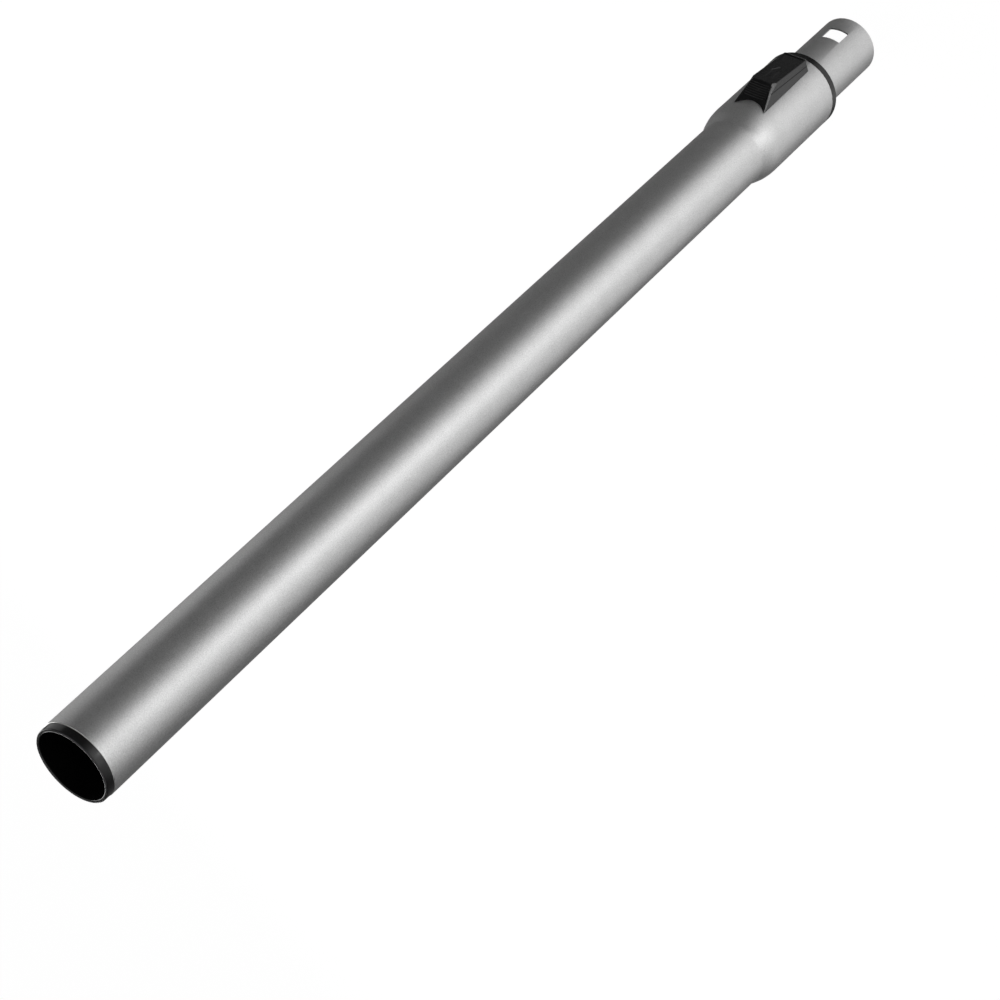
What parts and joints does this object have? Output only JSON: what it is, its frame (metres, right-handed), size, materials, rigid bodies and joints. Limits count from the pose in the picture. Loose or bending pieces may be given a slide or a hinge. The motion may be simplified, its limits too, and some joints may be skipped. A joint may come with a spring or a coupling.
{
  "type": "telescopic vacuum wand",
  "caption": "Telescopic suction tube: an inner tube slides in an outer one and locks in notches; a sliding button on the widened end releases it.",
  "frame": {"origin": "centre of the nozzle end's rim, on the tubes' axis", "axes": "+Z along the tubes up to the handle socket, +X from the axis to the release button; the wand stands on its nozzle end"},
  "size_m": [0.0543, 0.0458, 0.665],
  "materials": {
    "silver_finish": "satin silver-grey metallic lacquer on steel, fine grain",
    "bare_steel": "zinc-plated steel",
    "black_plastic": "satin black moulded plastic",
    "guide_plastic": "natural low-friction moulded plastic",
    "felt": "dense dark felt"
  },
  "bodies": {
    "wand_body": {"outer_tube": "silver_finish", "handle_socket_sleeve": "black_plastic", "rear_bearing_ring": "guide_plastic", "upper_guide_shell": "guide_plastic", "lower_guide_shell": "guide_plastic", "collar_ring": "black_plastic", "wiper_ring": "felt", "left_return_spring": "bare_steel", "right_return_spring": "bare_steel"},
    "slider": {"release_button": "black_plastic", "cam_slide": "black_plastic"},
    "bolt": {"lock_bolt": "bare_steel", "bolt_cross_pin": "bare_steel"},
    "sliding_tube": {"inner_tube": "silver_finish", "end_guide": "guide_plastic", "end_seal": "felt"}
  },
  "joints": [
    {"name": "tube_slide", "type": "slide", "parent": "wand_body", "child": "sliding_tube", "axis": [0, 0, -1], "range_m": [0, 0.396]},
    {"name": "button_slide", "type": "slide", "parent": "wand_body", "child": "slider", "axis": [0, 0, -1], "range_m": [0, 0.004], "stiffness_N_per_m": 900, "springref_m": -0.004, "deforming": ["left_return_spring", "right_return_spring"]},
    {"name": "bolt_lift", "type": "slide", "parent": "wand_body", "child": "bolt", "axis": [1, 0, 0], "range_m": [0, 0.002]}
  ],
  "couplings": [
    {"joint": "bolt_lift", "follows": "button_slide", "ratio": 0.5}
  ]
}
